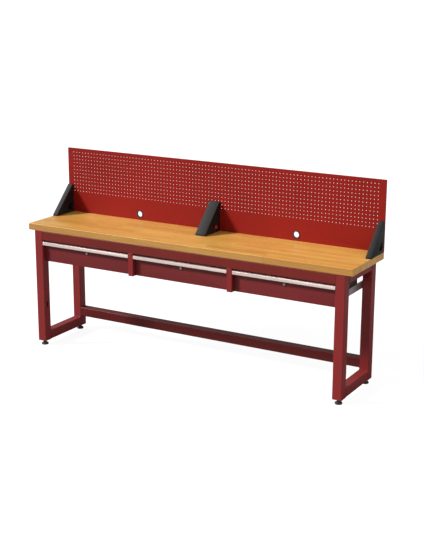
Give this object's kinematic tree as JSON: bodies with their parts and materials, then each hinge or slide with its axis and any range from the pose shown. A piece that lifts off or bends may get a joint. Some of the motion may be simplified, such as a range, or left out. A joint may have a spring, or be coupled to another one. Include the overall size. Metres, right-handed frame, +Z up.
{
  "type": "workbench with drawers",
  "caption": "Long steel-framed workbench with a butcher-block top, keyed drawers on telescopic slides and a gusseted perforated back panel.",
  "frame": {"origin": "on the floor under the middle of the worktop", "axes": "+X along the bench to the right as seen from the front, +Y towards the back panel, +Z up"},
  "size_m": [2.438, 0.49, 1.342],
  "materials": {
    "frame_red": "powder-coated dark red, satin",
    "panel_red": "powder-coated dark red, satin",
    "drawer_red": "powder-coated dark red, satin",
    "butcher_block": "edge-glued maple strips, oiled and varnished",
    "bracket_black": "powder-coated black, satin",
    "pull_aluminium": "anodised, fine lengthwise brushing",
    "slide_zinc": "bright zinc plate",
    "box_charcoal": "powder-coated charcoal",
    "foot_black": "blackened steel levelling foot and stud",
    "grommet_black": "moulded black plastic",
    "lock_nickel": "nickel plate",
    "fastener_zinc": "zinc plate"
  },
  "bodies": {
    "frame": {"front_left_leg": "frame_red", "front_right_leg": "frame_red", "rear_left_leg": "frame_red", "rear_right_leg": "frame_red", "left_bottom_rail": "frame_red", "left_top_rail": "frame_red", "right_bottom_rail": "frame_red", "right_top_rail": "frame_red", "rear_stretcher": "frame_red", "front_apron": "frame_red", "rear_top_rail": "frame_red", "front_hanger_1": "frame_red", "rear_hanger_1": "frame_red", "slide_runner_1": "frame_red", "front_hanger_2": "frame_red", "rear_hanger_2": "frame_red", "slide_runner_2": "frame_red", "foot_plates": "fastener_zinc", "worktop": "butcher_block", "worktop_screws": "fastener_zinc", "lower_panel": "panel_red", "pegboard": "panel_red", "cable_grommets": "grommet_black", "panel_screws": "fastener_zinc", "left_bracket": "bracket_black", "centre_bracket": "bracket_black", "right_bracket": "bracket_black", "bracket_bolts": "fastener_zinc", "lock_keepers": "fastener_zinc", "slide_outer_1": "slide_zinc", "slide_outer_2": "slide_zinc", "slide_outer_3": "slide_zinc"},
    "drawer_1": {"drawer_front_1": "drawer_red", "drawer_box_1": "box_charcoal", "drawer_pull_1": "pull_aluminium", "lock_barrel_1": "lock_nickel", "slide_inner_1": "slide_zinc"},
    "slide_carriage_1": {"slide_middle_1": "slide_zinc"},
    "lock_1": {"lock_plug_1": "lock_nickel", "lock_cam_1": "fastener_zinc"},
    "drawer_2": {"drawer_front_2": "drawer_red", "drawer_box_2": "box_charcoal", "drawer_pull_2": "pull_aluminium", "lock_barrel_2": "lock_nickel", "slide_inner_2": "slide_zinc"},
    "slide_carriage_2": {"slide_middle_2": "slide_zinc"},
    "lock_2": {"lock_plug_2": "lock_nickel", "lock_cam_2": "fastener_zinc"},
    "drawer_3": {"drawer_front_3": "drawer_red", "drawer_box_3": "box_charcoal", "drawer_pull_3": "pull_aluminium", "lock_barrel_3": "lock_nickel", "slide_inner_3": "slide_zinc"},
    "slide_carriage_3": {"slide_middle_3": "slide_zinc"},
    "lock_3": {"lock_plug_3": "lock_nickel", "lock_cam_3": "fastener_zinc"},
    "front_left_foot_body": {"front_left_foot": "foot_black"},
    "rear_left_foot_body": {"rear_left_foot": "foot_black"},
    "front_right_foot_body": {"front_right_foot": "foot_black"},
    "rear_right_foot_body": {"rear_right_foot": "foot_black"}
  },
  "joints": [
    {"name": "drawer_1_slide", "type": "slide", "parent": "frame", "child": "drawer_1", "axis": [0, -1, 0], "range_m": [0, 0.32]},
    {"name": "slide_carriage_1_slide", "type": "slide", "parent": "frame", "child": "slide_carriage_1", "axis": [0, -1, 0], "range_m": [0, 0.16]},
    {"name": "lock_1_turn", "type": "hinge", "parent": "drawer_1", "child": "lock_1", "pos_m": [-0.75, -0.18295, 0.7145], "axis": [0, 1, 0], "range_deg": [0, 90]},
    {"name": "drawer_2_slide", "type": "slide", "parent": "frame", "child": "drawer_2", "axis": [0, -1, 0], "range_m": [0, 0.32]},
    {"name": "slide_carriage_2_slide", "type": "slide", "parent": "frame", "child": "slide_carriage_2", "axis": [0, -1, 0], "range_m": [0, 0.16]},
    {"name": "lock_2_turn", "type": "hinge", "parent": "drawer_2", "child": "lock_2", "pos_m": [0, -0.18295, 0.7145], "axis": [0, 1, 0], "range_deg": [0, 90]},
    {"name": "drawer_3_slide", "type": "slide", "parent": "frame", "child": "drawer_3", "axis": [0, -1, 0], "range_m": [0, 0.32]},
    {"name": "slide_carriage_3_slide", "type": "slide", "parent": "frame", "child": "slide_carriage_3", "axis": [0, -1, 0], "range_m": [0, 0.16]},
    {"name": "lock_3_turn", "type": "hinge", "parent": "drawer_3", "child": "lock_3", "pos_m": [0.75, -0.18295, 0.7145], "axis": [0, 1, 0], "range_deg": [0, 90]},
    {"name": "front_left_foot_adjust", "type": "slide", "parent": "frame", "child": "front_left_foot_body", "axis": [0, 0, -1], "range_m": [0, 0.02]},
    {"name": "rear_left_foot_adjust", "type": "slide", "parent": "frame", "child": "rear_left_foot_body", "axis": [0, 0, -1], "range_m": [0, 0.02]},
    {"name": "front_right_foot_adjust", "type": "slide", "parent": "frame", "child": "front_right_foot_body", "axis": [0, 0, -1], "range_m": [0, 0.02]},
    {"name": "rear_right_foot_adjust", "type": "slide", "parent": "frame", "child": "rear_right_foot_body", "axis": [0, 0, -1], "range_m": [0, 0.02]}
  ],
  "couplings": [
    {"joint": "slide_carriage_1_slide", "follows": "drawer_1_slide", "ratio": 0.5},
    {"joint": "slide_carriage_2_slide", "follows": "drawer_2_slide", "ratio": 0.5},
    {"joint": "slide_carriage_3_slide", "follows": "drawer_3_slide", "ratio": 0.5}
  ]
}
